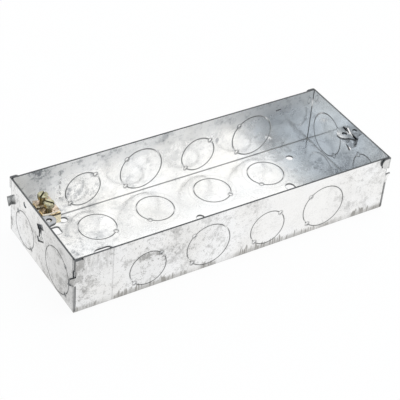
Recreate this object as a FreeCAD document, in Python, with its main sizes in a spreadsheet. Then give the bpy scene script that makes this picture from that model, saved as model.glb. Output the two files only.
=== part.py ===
"""Three-gang flush back box: a folded galvanised box with knockouts, lugs and an earth terminal.

The box is cut and folded from one sheet. Its length runs along X, its width along Y and
its open side faces up. The origin lies in the middle of the underside of the base.
"""

import FreeCAD, Part
import os
import re

import Sketcher
from FreeCAD import Placement, Rotation, Vector

# Driving sizes in millimetres, angles in degrees
SIZES = {
    # folded box
    "box_length": 190.0,
    "box_width": 71.6,
    "box_height": 35.0,
    "sheet": 1.0,
    "bend_outer": 1.5,
    "seam_gap": 0.25,
    "fold_gap": 0.1,
    # rim tabs of the end walls, folded over the long walls
    "tab_length": 5.5,
    "tab_height": 6.4,
    "tab_round_low": 3.4,
    "tab_round_top": 2.2,
    # twisted tongues of the long walls, passed through the corners
    "tongue_drop": 11.5,
    "tongue_height": 5.3,
    "tongue_reach": 2.0,
    "tongue_twist": 20.0,
    # knockouts
    "small_radius": 10.4,
    "large_radius": 12.75,
    "slit": 0.3,
    "tie_radius": 1.1,
    "tie_pit": 0.25,
    "long_small_foot": 3.8,
    "long_large_foot": 3.35,
    "outer_pitch": 53.4,
    "inner_pitch": 18.1,
    "base_offset": 17.5,
    "end_small_foot": 2.8,
    "end_large_foot": 2.25,
    "end_small_offset": 18.7,
    "end_large_offset": 17.9,
    # fixing holes of the base
    "centre_hole": 2.2,
    "corner_hole": 2.2,
    "corner_hole_across": 74.0,
    "corner_hole_along": 23.7,
    "extra_hole_across": 66.9,
    "extra_hole_along": 30.5,
    "square_hole": 6.2,
    "square_hole_round": 1.2,
    "square_hole_across": 75.0,
    "square_hole_along": 24.1,
    "fixing_slot_width": 5.2,
    "fixing_slot_length": 10.6,
    "fixing_slot_across": 59.4,
    "fixing_slot_along": 1.2,
    # bone-shaped slots of the end walls
    "bone_height": 8.0,
    "bone_drop": 10.6,
    "bone_offset": 0.9,
    "bone_waist": 2.6,
    "bone_arm": 6.8,
    "bone_arm_width": 2.6,
    "bone_tilt": 30.0,
    # key slit of the back wall
    "key_slit_length": 3.4,
    "key_slit_height": 0.8,
    "key_slit_across": 70.2,
    "key_slit_drop": 6.6,
    # lugs
    "lug_sheet": 1.2,
    "lug_bend": 1.6,
    "lug_round": 2.4,
    "lug_inset": 3.55,
    "lug_thread": 1.45,
    "fixed_lug_width": 8.4,
    "fixed_lug_tip": 3.6,
    "fixed_lug_leg": 9.4,
    "fixed_lug_along": 0.2,
    "fixed_lug_drop": 3.2,
    "adjustable_lug_width": 13.0,
    "adjustable_lug_tip": 4.2,
    "adjustable_lug_leg": 7.6,
    "adjustable_lug_drop": 6.0,
    "lug_play": 0.08,
    # stud of the adjustable lug
    "stud_drop": 4.6,
    "stud_play": 0.08,
    "stud_head": 2.7,
    "stud_head_height": 0.9,
    "stud_rivet": 2.2,
    "stud_rivet_height": 0.7,
    # brass earth bracket
    "brass": 1.0,
    "terminal_along": 18.4,
    "flange_width": 13.6,
    "flange_rise": 8.4,
    "shelf_drop": 11.0,
    "shelf_reach": 15.9,
    "finger_width": 4.95,
    "finger_gap": 1.9,
    "finger_length": 11.0,
    "leg_width": 5.6,
    "leg_drop": 6.2,
    "leg_set_out": 1.0,
    "brass_bend": 1.2,
    # clinch that holds the bracket
    "clinch_radius": 2.1,
    "clinch_drop": 5.2,
    "clinch_hollow": 0.35,
    # saddles and terminal screws
    "screw_pitch": 7.2,
    "screw_inset": 10.7,
    "saddle_sheet": 1.0,
    "saddle_length": 9.4,
    "saddle_depth": 4.9,
    "saddle_flat": 3.6,
    "saddle_rise": 0.6,
    "screw_radius": 1.75,
    "screw_play": 0.06,
    "screw_lift": 2.9,
    "screw_shank": 7.4,
    "head_radius": 2.8,
    "head_height": 2.5,
    "head_round": 0.7,
    "head_slot": 0.9,
    "head_slot_depth": 1.1,
    "front_slot_turn": -50.0,
    "rear_slot_turn": 41.0,
}

# Places of the ties round a knockout, in degrees
SMALL_TIES = (45, -135)
LARGE_TIES = (135, -135)
BASE_TIES = ((-45,), (-135,))

# Expressions used more than once
HALF_LENGTH = "box_length / 2"
HALF_WIDTH = "box_width / 2"
LEFT_INSIDE = "(sheet - box_length / 2)"
TAB_BOTTOM = "(box_height - tab_height)"
TONGUE_TOP = "(box_height - tongue_drop)"
TONGUE_BOTTOM = "(box_height - tongue_drop - tongue_height)"
SHELF_TOP = "(box_height - shelf_drop)"
STUD_LEVEL = "(box_height - adjustable_lug_drop - stud_drop)"

doc = FreeCAD.newDocument("flush_back_box")


# Spreadsheet and bindings

def make_sheet():
    """Fill the spreadsheet with the driving sizes."""
    sheet = doc.addObject("Spreadsheet::Sheet", "Sizes")
    for row, (alias, value) in enumerate(SIZES.items(), start=1):
        sheet.set(f"A{row}", alias)
        sheet.set(f"B{row}", str(value))
        sheet.setAlias(f"B{row}", alias)
    doc.recompute()
    return sheet


def named(text):
    """Turn each size name in an expression into a cell of the sheet."""
    def cell(found):
        word = found.group()
        return f"Sizes.{word}" if word in SIZES else word
    return re.sub("[a-z_]+", cell, text)


def value_of(text):
    """The present value of an expression in the names of the sheet."""
    result = sheet.evalExpression(named(text))
    return float(getattr(result, "Value", result))


def bind(item, **expressions):
    """Bind properties to expressions; a double underscore stands for a dot."""
    for path, text in expressions.items():
        item.setExpression(path.replace("__", "."), named(text))
    return item


def place(item, x="0", y="0", z="0", rotation=None):
    """Turn an object, then bind its position to expressions."""
    if rotation is not None:
        item.Placement = Placement(Vector(), rotation)
    return bind(item, Placement__Base__x=x, Placement__Base__y=y, Placement__Base__z=z)


# Sketches and body features

def new_body(name):
    """Start a body."""
    return doc.addObject("PartDesign::Body", name)


def new_sketch(body, name, role, offset):
    """Start a sketch on an origin plane of a body, set off along its normal."""
    sketch = body.newObject("Sketcher::SketchObject", name)
    plane = next(plane for plane in body.Origin.OriginFeatures if plane.Role == role)
    sketch.AttachmentSupport = [(plane, "")]
    sketch.MapMode = "FlatFace"
    sketch.setExpression("AttachmentOffset.Base.z", named(offset))
    return sketch


def constrain(sketch, constraint, text):
    """Add a size to a sketch and bind it to an expression."""
    number = sketch.addConstraint(constraint)
    sketch.setExpression(f"Constraints[{number}]", named(text))


def outline(body, name, role, points, offset="0"):
    """Sketch a closed outline whose corners are bound to pairs of expressions."""
    sketch = new_sketch(body, name, role, offset)
    corners = [Vector(value_of(across), value_of(up), 0) for across, up in points]
    count = len(corners)
    for index, corner in enumerate(corners):
        sketch.addGeometry(Part.LineSegment(corner, corners[(index + 1) % count]), False)
    for index in range(count):
        following = (index + 1) % count
        sketch.addConstraint(Sketcher.Constraint("Coincident", index, 2, following, 1))
    for index, (corner, (across, up)) in enumerate(zip(corners, points)):
        for kind, value, text in (("DistanceX", corner.x, across), ("DistanceY", corner.y, up)):
            constrain(sketch, Sketcher.Constraint(kind, -1, 1, index, 1, value), text)
    doc.recompute()
    return sketch


def circle(body, name, role, centre, radius, offset="0"):
    """Sketch a circle bound to expressions."""
    sketch = new_sketch(body, name, role, offset)
    middle = Vector(value_of(centre[0]), value_of(centre[1]), 0)
    size = value_of(radius)
    sketch.addGeometry(Part.Circle(middle, Vector(0, 0, 1), size), False)
    constrain(sketch, Sketcher.Constraint("DistanceX", -1, 1, 0, 3, middle.x), centre[0])
    constrain(sketch, Sketcher.Constraint("DistanceY", -1, 1, 0, 3, middle.y), centre[1])
    constrain(sketch, Sketcher.Constraint("Radius", 0, size), radius)
    doc.recompute()
    return sketch


def pad(body, name, sketch, length, both_sides=False):
    """Pad a sketch by a bound length."""
    feature = body.newObject("PartDesign::Pad", name)
    feature.Profile = sketch
    feature.Midplane = both_sides
    bind(feature, Length=length)
    doc.recompute()


def pocket(body, name, sketch, length=None):
    """Pocket a sketch by a bound length, or through everything."""
    before = body.Shape.Volume
    feature = body.newObject("PartDesign::Pocket", name)
    feature.Profile = sketch
    if length is None:
        feature.Type = "ThroughAll"
    else:
        bind(feature, Length=length)
    doc.recompute()
    if not 0 < body.Shape.Volume < before:
        raise ValueError(f"{body.Name}: {name} does not cut")


def edges_at(shape, limits):
    """The names of the edges that keep to the given coordinates, each an expression."""
    wanted = {axis: value_of(text) for axis, text in limits.items()}
    return [
        f"Edge{number}"
        for number, edge in enumerate(shape.Edges, start=1)
        if all(
            abs(getattr(edge.BoundBox, axis + end) - value) < 1e-4
            for axis, value in wanted.items()
            for end in ("Min", "Max")
        )
    ]


def round_edges(body, name, radius, **limits):
    """Fillet the chosen edges of a body by a bound radius."""
    base = body.Tip
    feature = body.newObject("PartDesign::Fillet", name)
    feature.Base = (base, edges_at(base.Shape, limits))
    bind(feature, Radius=radius)
    doc.recompute()


def bevel_edges(body, name, size, **limits):
    """Chamfer the chosen edges of a body by a bound size."""
    base = body.Tip
    feature = body.newObject("PartDesign::Chamfer", name)
    feature.Base = (base, edges_at(base.Shape, limits))
    bind(feature, Size=size)
    doc.recompute()


# Primitives and booleans

def cylinder(name, radius, height, x="0", y="0", z="0", rotation=None):
    """A cylinder with bound sizes."""
    item = bind(doc.addObject("Part::Cylinder", name), Radius=radius, Height=height)
    return place(item, x, y, z, rotation)


def block(name, length, width, height, x="0", y="0", z="0", turn=None):
    """An upright block about a bound centre, turned about it by a bound angle."""
    item = doc.addObject("Part::Box", name)
    bind(item, Length=length, Width=width, Height=height)
    cosine, sine = "1", "0"
    if turn is not None:
        item.Placement = Placement(Vector(), Rotation(Vector(0, 0, 1), 1))
        bind(item, Placement__Rotation__Angle=f"({turn}) * 1 deg")
        cosine, sine = f"cos(({turn}) * 1 deg)", f"sin(({turn}) * 1 deg)"
    return place(
        item,
        f"{x} - ({length}) / 2 * {cosine} + ({width}) / 2 * {sine}",
        f"{y} - ({length}) / 2 * {sine} - ({width}) / 2 * {cosine}",
        z,
    )


def fuse(name, shapes):
    """Join shapes into one object."""
    joined = doc.addObject("Part::MultiFuse", name)
    joined.Shapes = shapes
    return joined


def cut(name, base, tool):
    """Cut a tool from a base."""
    result = doc.addObject("Part::Cut", name)
    result.Base = base
    result.Tool = tool
    return result


def mirrored(name, source, normal):
    """Mirror an object about the origin plane with the given normal."""
    copy = doc.addObject("Part::Mirroring", name)
    copy.Source = source
    copy.Normal = normal
    return copy


def four_corners(source):
    """A corner feature and its mirror images at the other three corners."""
    name = source.Name
    left = mirrored(f"{name}_left", source, Vector(1, 0, 0))
    front = mirrored(f"{name}_front", source, Vector(0, 1, 0))
    left_front = mirrored(f"{name}_left_front", left, Vector(0, 1, 0))
    return [source, left, front, left_front]


# Flat walls

class Wall:
    """A flat wall: a tool drawn flat is turned to it, its X across and its Y up the wall."""

    def __init__(self, rotation, start, order):
        """Keep the turn, where the sheet starts, and where each wall direction goes."""
        self.rotation = rotation
        self.start = start
        self.order = order

    def put(self, tool, across, up, turn=0.0):
        """Set a tool at a point of the wall."""
        spots = {"across": across, "up": up, "start": self.start}
        rotation = self.rotation.multiply(Rotation(Vector(0, 0, 1), turn))
        return place(tool, *(spots[key] for key in self.order), rotation)


UP_LONG_WALL = Rotation(Vector(1, 0, 0), 90)
UP_END_WALL = Rotation(Vector(1, 1, 1), 120)
LONG_ORDER = ("across", "start", "up")
END_ORDER = ("start", "across", "up")
WALLS = {
    "front": Wall(UP_LONG_WALL, f"sheet - {HALF_WIDTH}", LONG_ORDER),
    "back": Wall(UP_LONG_WALL, HALF_WIDTH, LONG_ORDER),
    "left": Wall(UP_END_WALL, f"-{HALF_LENGTH}", END_ORDER),
    "right": Wall(UP_END_WALL, f"{HALF_LENGTH} - sheet", END_ORDER),
    "base": Wall(Rotation(), "0", ("across", "up", "start")),
}


def knockout(name, radius, ties, pit_level="sheet - tie_pit"):
    """The flat cutter of one knockout: a round slit broken by ties, each with a pit."""
    outer = cylinder(f"{name}_outer", f"{radius} + slit / 2", "sheet + 2", z="-1")
    kept = [cylinder(f"{name}_disc", f"{radius} - slit / 2", "sheet + 4", z="-2")]
    pits = []
    for number, angle in enumerate(ties):
        spot = (f"{radius} * cos(({angle}) * 1 deg)", f"{radius} * sin(({angle}) * 1 deg)")
        kept.append(cylinder(f"{name}_tie_{number}", "tie_radius", "sheet + 4", *spot, "-2"))
        pits.append(cylinder(f"{name}_pit_{number}", "tie_radius * 0.8", "2", *spot, pit_level))
    slit = cut(f"{name}_slit", outer, fuse(f"{name}_kept", kept))
    return fuse(f"{name}_cutter", [slit] + pits)


def round_slot(name, length, width):
    """The flat cutter of a round-ended slot."""
    half = f"({length} - {width}) / 2"
    ends = [
        cylinder(f"{name}_{end}", f"{width} / 2", "sheet + 2", f"{sign}{half}", z="-1")
        for end, sign in (("low", "-"), ("high", ""))
    ]
    middle = block(f"{name}_middle", f"{length} - {width}", width, "sheet + 2", z="-1")
    return fuse(f"{name}_cutter", ends + [middle])


def bone_slot(name, sense):
    """The flat cutter of an upright slot with a tilted arm across each end."""
    parts = [block(f"{name}_waist", "bone_waist", "bone_height", "sheet + 2", z="-1")]
    for end, sign in (("foot", "-"), ("top", "")):
        parts.append(block(
            f"{name}_{end}", "bone_arm", "bone_arm_width", "sheet + 2",
            y=f"{sign}bone_height / 2", z="-1", turn=f"-({sense}) * bone_tilt",
        ))
    return fuse(f"{name}_cutter", parts)


# Folded box

def make_tray():
    """The base and its four upright walls, with rounded bends."""
    body = new_body("tray")
    corners = [(-1, -1), (1, -1), (1, 1), (-1, 1)]
    outer = [(f"({i}) * {HALF_LENGTH}", f"({j}) * {HALF_WIDTH}") for i, j in corners]
    pad(body, "blank", outline(body, "footprint", "XY_Plane", outer), "box_height")
    round_edges(body, "outer_bends", "bend_outer", Z="0")
    inner = [
        (f"({i}) * ({HALF_LENGTH} - sheet)", f"({j}) * ({HALF_WIDTH} - sheet)")
        for i, j in corners
    ]
    inside = outline(body, "inside", "XY_Plane", inner, "box_height")
    pocket(body, "hollow", inside, "box_height - sheet")
    round_edges(body, "inner_bends", "bend_outer - sheet", Z="sheet")
    return body


def make_rim_tab():
    """The tab at the top of an end wall, folded round the corner onto the long wall."""
    body = new_body("rim_tab")
    face = f"{HALF_WIDTH} + fold_gap"
    end = f"{HALF_LENGTH} - tab_length"
    points = [
        (f"{HALF_LENGTH} - sheet", f"{HALF_WIDTH} - sheet / 2"),
        (f"{HALF_LENGTH} - sheet", face),
        (end, face),
        (end, f"{face} + sheet"),
        (HALF_LENGTH, f"{face} + sheet"),
        (HALF_LENGTH, f"{HALF_WIDTH} - sheet / 2"),
    ]
    plan = outline(body, "tab_plan", "XY_Plane", points, TAB_BOTTOM)
    pad(body, "tab_strip", plan, "tab_height")
    round_edges(body, "tab_bend", "sheet * 0.9", X=HALF_LENGTH, Y=f"{face} + sheet")
    round_edges(body, "tab_low", "tab_round_low", X=end, Z=TAB_BOTTOM)
    round_edges(body, "tab_top", "tab_round_top", X=end, Z="box_height")
    return body


def make_tongue():
    """The tongue of a long wall, passed out through the corner and twisted to lock it."""
    body = new_body("tongue")
    root = [
        (HALF_WIDTH, TONGUE_TOP),
        (f"{HALF_WIDTH} - sheet", TONGUE_TOP),
        (f"{HALF_WIDTH} - sheet", TONGUE_BOTTOM),
        (HALF_WIDTH, TONGUE_BOTTOM),
    ]
    start = outline(body, "root", "YZ_Plane", root, f"{HALF_LENGTH} - 2 * sheet")
    pad(body, "straight", start, "2 * sheet + fold_gap")
    sine = "sin(tongue_twist * 1 deg)"
    cosine = "cos(tongue_twist * 1 deg)"
    inward = f"{HALF_WIDTH} - sheet * {cosine}"
    raised = f"{TONGUE_TOP} + sheet * {sine}"
    twisted = [
        (HALF_WIDTH, TONGUE_TOP),
        (inward, raised),
        (f"{inward} - tongue_height * {sine}", f"{raised} - tongue_height * {cosine}"),
        (f"{HALF_WIDTH} - tongue_height * {sine}", f"{TONGUE_TOP} - tongue_height * {cosine}"),
    ]
    near = outline(body, "near_end", "YZ_Plane", root, f"{HALF_LENGTH} + fold_gap")
    far = outline(body, "far_end", "YZ_Plane", twisted, f"{HALF_LENGTH} + tongue_reach")
    loft = body.newObject("PartDesign::AdditiveLoft", "twist")
    loft.Profile = near
    loft.Sections = [far]
    loft.Ruled = True
    doc.recompute()
    return body


def corner_cutters():
    """The open seam and the notch that frees the tongue, at one corner."""
    seam = block(
        "seam", "seam_gap", "bend_outer + 1", "box_height + 2",
        f"{HALF_LENGTH} - sheet - seam_gap / 2", f"{HALF_WIDTH} + (1 - bend_outer) / 2", "-1",
    )
    notch = block(
        "notch", "sheet + 1", "sheet + 1 + fold_gap", f"{TAB_BOTTOM} - {TONGUE_BOTTOM} + fold_gap",
        f"{HALF_LENGTH} + (1 - sheet) / 2", f"{HALF_WIDTH} + (1 - sheet - fold_gap) / 2",
        f"{TONGUE_BOTTOM} - fold_gap",
    )
    return [copy for tool in (seam, notch) for copy in four_corners(tool)]


def knockout_cutters():
    """The knockouts of all five walls, small and large in turn along the long walls."""
    cutters = []
    row = (
        ("-outer_pitch", False),
        ("-inner_pitch", True),
        ("inner_pitch", False),
        ("outer_pitch", True),
    )
    for number, (across, large) in enumerate(row, start=1):
        kind = "large" if large else "small"
        ties = LARGE_TIES if large else SMALL_TIES
        for side in ("front", "back"):
            tool = knockout(f"{side}_{number}", f"{kind}_radius", ties)
            cutters.append(WALLS[side].put(tool, across, f"long_{kind}_foot + {kind}_radius"))
        tool = knockout(f"base_{number}", "small_radius", BASE_TIES[int(large)])
        cutters.append(WALLS["base"].put(tool, across, "base_offset"))
    for side, sense, other, pit in (
        ("left", "", "-", "tie_pit - 2"),
        ("right", "-", "", "sheet - tie_pit"),
    ):
        small = knockout(f"{side}_small", "small_radius", SMALL_TIES, pit)
        large = knockout(f"{side}_large", "large_radius", LARGE_TIES, pit)
        low, high = "end_small_foot + small_radius", "end_large_foot + large_radius"
        cutters.append(WALLS[side].put(small, f"{sense}end_small_offset", low))
        cutters.append(WALLS[side].put(large, f"{other}end_large_offset", high))
    return cutters


def square_opening():
    """The cutter of the square hole near the left end of the base, its corners rounded."""
    body = new_body("square_opening")
    corners = [
        (
            f"({i}) * square_hole / 2 - square_hole_across",
            f"({j}) * square_hole / 2 + square_hole_along",
        )
        for i, j in [(-1, -1), (1, -1), (1, 1), (-1, 1)]
    ]
    plan = outline(body, "square_plan", "XY_Plane", corners, "-sheet / 2")
    pad(body, "square_block", plan, "2 * sheet")
    for number, (across, along) in enumerate(corners):
        round_edges(body, f"square_corner_{number}", "square_hole_round", X=across, Y=along)
    return body


def fixing_cutters():
    """The holes and slots of the base, the bone slots and the key slit."""
    base = WALLS["base"]
    cutters = [square_opening()]
    for name, radius, across, up in (
        ("middle_hole", "centre_hole", "0", "0"),
        ("right_hole", "corner_hole", "corner_hole_across", "corner_hole_along"),
        ("extra_hole", "corner_hole", "-extra_hole_across", "extra_hole_along"),
    ):
        cutters.append(cylinder(name, radius, "2 * sheet", across, up, "-sheet / 2"))
    size = ("fixing_slot_length", "fixing_slot_width")
    left = round_slot("left_slot", *size)
    right = round_slot("right_slot", *size)
    cutters.append(base.put(left, "-fixing_slot_across", "-fixing_slot_along"))
    cutters.append(base.put(right, "fixing_slot_across", "-fixing_slot_along", turn=90.0))
    key = round_slot("key_slit", "key_slit_length", "key_slit_height")
    cutters.append(WALLS["back"].put(key, "key_slit_across", "box_height - key_slit_drop"))
    for side, sense in (("left", 1), ("right", -1)):
        bone = bone_slot(f"{side}_bone", sense)
        cutters.append(WALLS[side].put(bone, f"({sense}) * bone_offset", "box_height - bone_drop"))
    return cutters


def make_box_shell():
    """The folded sheet as one solid: tray, tabs, tongues and clinch, less its openings."""
    notched = cut("notched_tray", make_tray(), fuse("corner_cuts", corner_cutters()))
    spot = ("terminal_along", "box_height - clinch_drop", UP_END_WALL)
    boss = cylinder(
        "clinch_boss", "clinch_radius", "sheet / 2 + brass", f"{LEFT_INSIDE} - sheet / 2", *spot
    )
    hollow = cylinder(
        "clinch_dish", "clinch_radius * 0.8", "clinch_hollow + 1", f"-{HALF_LENGTH} - 1", *spot
    )
    folded = fuse(
        "folded_sheet", [notched, boss] + four_corners(make_rim_tab()) + four_corners(make_tongue())
    )
    openings = fuse("openings", knockout_cutters() + fixing_cutters() + [hollow])
    return cut("box_shell", folded, openings)


# Lugs

def make_lug(name, play, with_stud):
    """A lug drawn at the left end: a leg for the end wall and a tapered tab with its hole."""
    width, tip, leg = (f"{name}_{part}" for part in ("width", "tip", "leg"))
    reach = f"(lug_inset - {play})"
    bent = new_body(f"{name}_bent")
    length = f"{reach} + 2 * {tip}"
    profile = [
        ("0", "0"),
        (length, "0"),
        (length, "-lug_sheet"),
        ("lug_sheet", "-lug_sheet"),
        ("lug_sheet", f"-{leg}"),
        ("0", f"-{leg}"),
    ]
    pad(bent, "strip", outline(bent, "side_view", "XZ_Plane", profile), width, True)
    round_edges(bent, "outer_bend", "lug_bend", X="0", Z="0")
    round_edges(bent, "inner_bend", "lug_bend / 3", X="lug_sheet", Z="-lug_sheet")
    for side, sign in (("front", "-"), ("rear", "")):
        round_edges(bent, f"{side}_corner", "lug_round", Y=f"{sign}{width} / 2", Z=f"-{leg}")
    tapered = new_body(f"{name}_tapered")
    points = [
        ("-1", f"-{width} / 2"),
        ("lug_sheet", f"-{width} / 2"),
        (reach, f"-{tip}"),
        (reach, tip),
        ("lug_sheet", f"{width} / 2"),
        ("-1", f"{width} / 2"),
    ]
    plan = outline(tapered, "plan", "XY_Plane", points, f"-{leg} - 1")
    pad(tapered, "prism", plan, f"{leg} + 2")
    rounded = cylinder(f"{name}_end", tip, f"{leg} + 2", reach, z=f"-{leg} - 1")
    blank = doc.addObject("Part::Common", f"{name}_blank")
    blank.Base = bent
    blank.Tool = fuse(f"{name}_outline", [tapered, rounded])
    holes = [cylinder(f"{name}_thread", "lug_thread", "2 * lug_sheet", reach, z="-1.5 * lug_sheet")]
    if with_stud:
        stud_hole = cylinder(
            f"{name}_stud_hole", "bone_waist / 2 - stud_play", "lug_sheet + 2",
            "-1", z="-stud_drop", rotation=UP_END_WALL,
        )
        holes = [fuse(f"{name}_holes", holes + [stud_hole])]
    return cut(name, blank, holes[0])


def make_fixed_lug():
    """The left lug, welded to the end wall."""
    lug = make_lug("fixed_lug", "0", with_stud=False)
    return place(lug, LEFT_INSIDE, "fixed_lug_along", "box_height - fixed_lug_drop")


def make_adjustable_lug():
    """The right lug, held by its stud in the slot of the end wall."""
    lug = make_lug("adjustable_lug", "lug_play", with_stud=True)
    return place(
        lug, f"-{LEFT_INSIDE} - lug_play", "-bone_offset", "box_height - adjustable_lug_drop",
        Rotation(Vector(0, 0, 1), 180),
    )


def make_lug_stud():
    """The headed stud through the leg of the adjustable lug and the slot of the end wall."""
    body = new_body("lug_stud")
    inner = f"{HALF_LENGTH} - sheet - lug_play - lug_sheet"
    outer = f"{HALF_LENGTH} + lug_play"
    centre = ("-bone_offset", STUD_LEVEL)
    shank = circle(body, "shank_ring", "YZ_Plane", centre, "bone_waist / 2 - stud_play", inner)
    pad(body, "shank", shank, "lug_sheet + sheet + 2 * lug_play")
    inside = f"{inner} - stud_rivet_height"
    rivet = circle(body, "rivet_ring", "YZ_Plane", centre, "stud_rivet", inside)
    pad(body, "rivet_head", rivet, "stud_rivet_height")
    bevel_edges(body, "rivet_bevel", "stud_rivet_height * 0.6", X=inside)
    head = circle(body, "head_ring", "YZ_Plane", centre, "stud_head", outer)
    pad(body, "head", head, "stud_head_height")
    bevel_edges(body, "head_bevel", "stud_head_height * 0.5", X=f"{outer} + stud_head_height")
    return body


# Earth terminal

def make_earth_bracket():
    """The brass bracket: a flange on the end wall, two fingers and a leg folded down."""
    body = new_body("earth_bracket")
    root = f"{LEFT_INSIDE} + 2 * brass + 0.5"
    side_view = [
        (LEFT_INSIDE, f"{SHELF_TOP} - brass"),
        (root, f"{SHELF_TOP} - brass"),
        (root, SHELF_TOP),
        (f"{LEFT_INSIDE} + brass", SHELF_TOP),
        (f"{LEFT_INSIDE} + brass", f"{SHELF_TOP} + flange_rise"),
        (LEFT_INSIDE, f"{SHELF_TOP} + flange_rise"),
    ]
    profile = outline(body, "flange_profile", "XZ_Plane", side_view, "-terminal_along")
    pad(body, "flange", profile, "flange_width", both_sides=True)
    round_edges(body, "flange_bend", "brass_bend", X=LEFT_INSIDE, Z=f"{SHELF_TOP} - brass")
    round_edges(
        body, "flange_root", "brass_bend / 3", X=f"{LEFT_INSIDE} + brass", Z=SHELF_TOP
    )
    tip = f"{LEFT_INSIDE} + shelf_reach"
    far = "(finger_width + finger_gap / 2)"
    fork = [
        (root, f"terminal_along - {far}"),
        (tip, f"terminal_along - {far}"),
        (tip, "terminal_along - finger_gap / 2"),
        (f"{tip} - finger_length", "terminal_along - finger_gap / 2"),
        (f"{tip} - finger_length", "terminal_along + finger_gap / 2"),
        (tip, "terminal_along + finger_gap / 2"),
        (tip, f"terminal_along + {far}"),
        (root, f"terminal_along + {far}"),
    ]
    plan = outline(body, "finger_plan", "XY_Plane", fork, f"{SHELF_TOP} - brass")
    pad(body, "fingers", plan, "brass")
    front = f"terminal_along - {far} - leg_set_out"
    end_view = [
        (front, SHELF_TOP),
        (front, f"{SHELF_TOP} - leg_drop"),
        (f"{front} + brass", f"{SHELF_TOP} - leg_drop"),
        (f"{front} + brass", f"{SHELF_TOP} - brass"),
        (f"{front} + 2 * brass", f"{SHELF_TOP} - brass"),
        (f"{front} + 2 * brass", SHELF_TOP),
    ]
    leg = outline(body, "leg_profile", "YZ_Plane", end_view, f"{tip} - leg_width")
    pad(body, "leg", leg, "leg_width")
    round_edges(body, "leg_bend", "leg_set_out", Y=front, Z=SHELF_TOP)
    spot = ("terminal_along", "box_height - clinch_drop")
    clinch = circle(body, "clinch_ring", "YZ_Plane", spot, "clinch_radius", root)
    pocket(body, "clinch_hole", clinch)
    for name, sense in (("front", "-"), ("rear", "+")):
        centre = (f"{LEFT_INSIDE} + screw_inset", f"terminal_along {sense} screw_pitch / 2")
        hole = circle(
            body, f"{name}_ring", "XY_Plane", centre, "screw_radius + screw_play",
            f"{SHELF_TOP} + brass",
        )
        pocket(body, f"{name}_hole", hole)
    return body


def at_screw(body, sense, level):
    """Set a piece on the axis of the front or the rear terminal screw."""
    along = f"terminal_along {sense} screw_pitch / 2"
    return place(body, f"{LEFT_INSIDE} + screw_inset", along, level)


def make_saddle(name, sense):
    """A wire saddle: a small plate with a hole, its two wings turned up."""
    body = new_body(f"{name}_saddle")
    right = [
        ("saddle_flat / 2", "0"),
        ("saddle_length / 2", "saddle_rise"),
        ("saddle_length / 2", "saddle_rise + saddle_sheet"),
        ("saddle_flat / 2", "saddle_sheet"),
    ]
    left = [(f"-{across}", up) for across, up in reversed(right)]
    profile = outline(body, "saddle_profile", "XZ_Plane", right + left)
    pad(body, "plate", profile, "saddle_depth", both_sides=True)
    hole = circle(
        body, "hole_ring", "XY_Plane", ("0", "0"), "screw_radius + screw_play", "saddle_sheet"
    )
    pocket(body, "hole", hole)
    return at_screw(body, sense, SHELF_TOP)


def make_terminal_screw(name, sense):
    """A slotted terminal screw with a rounded cheese head."""
    body = new_body(f"{name}_terminal_screw")
    centre = ("0", "0")
    pad(body, "head", circle(body, "head_ring", "XY_Plane", centre, "head_radius"), "head_height")
    round_edges(body, "head_top", "head_round", Z="head_height")
    shank = circle(body, "shank_ring", "XY_Plane", centre, "screw_radius", "-screw_shank")
    pad(body, "shank", shank, "screw_shank")
    bevel_edges(body, "shank_end", "screw_radius / 4", Z="-screw_shank")
    cosine, sine = (f"{function}({name}_slot_turn * 1 deg)" for function in ("cos", "sin"))
    corners = [
        (
            f"({i}) * 1.2 * head_radius * {cosine} - ({j}) * head_slot / 2 * {sine}",
            f"({i}) * 1.2 * head_radius * {sine} + ({j}) * head_slot / 2 * {cosine}",
        )
        for i, j in [(-1, -1), (1, -1), (1, 1), (-1, 1)]
    ]
    driver_slot = outline(body, "slot_plan", "XY_Plane", corners, "head_height")
    pocket(body, "driver_slot", driver_slot, "head_slot_depth")
    return at_screw(body, sense, f"{SHELF_TOP} + saddle_sheet + screw_lift")


# Build, check and write

def check():
    """Stop at any object that failed or has no valid shape."""
    doc.recompute()
    for item in doc.Objects:
        if {"Invalid", "Error"} & set(item.State):
            raise ValueError(f"{item.Name} failed: {item.State}")
        shape = getattr(item, "Shape", None)
        if shape is not None and (shape.isNull() or not shape.isValid()):
            raise ValueError(f"{item.Name} has no valid shape")


def export(pieces):
    """Write each piece as one solid under its label."""
    os.makedirs("parts", exist_ok=True)
    for piece in pieces:
        piece.Label = piece.Name
        if len(piece.Shape.Solids) != 1:
            raise ValueError(f"{piece.Name} is not one solid")
        piece.Shape.exportStep(f"parts/{piece.Label}.step")


sheet = make_sheet()
PIECES = [
    make_box_shell(),
    make_fixed_lug(),
    make_adjustable_lug(),
    make_lug_stud(),
    make_earth_bracket(),
    make_saddle("front", "-"),
    make_saddle("rear", "+"),
    make_terminal_screw("front", "-"),
    make_terminal_screw("rear", "+"),
]
check()
export(PIECES)
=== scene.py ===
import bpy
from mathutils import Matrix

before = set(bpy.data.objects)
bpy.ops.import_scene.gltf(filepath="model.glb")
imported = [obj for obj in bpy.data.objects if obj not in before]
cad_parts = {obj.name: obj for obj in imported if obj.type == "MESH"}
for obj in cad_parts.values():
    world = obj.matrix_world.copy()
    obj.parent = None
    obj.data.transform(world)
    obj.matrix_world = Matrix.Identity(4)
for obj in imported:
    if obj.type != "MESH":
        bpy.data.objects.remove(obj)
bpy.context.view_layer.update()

"""Dresses the flush back box: zinc, plated steel and brass finishes, a plain studio and its camera.

Lengths are in millimetres wherever a name ends in _mm, and in metres elsewhere.
"""

import logging
import math
from dataclasses import dataclass, field
from enum import Enum
from typing import Any, Sequence

import bpy
from mathutils import Matrix, Vector

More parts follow.
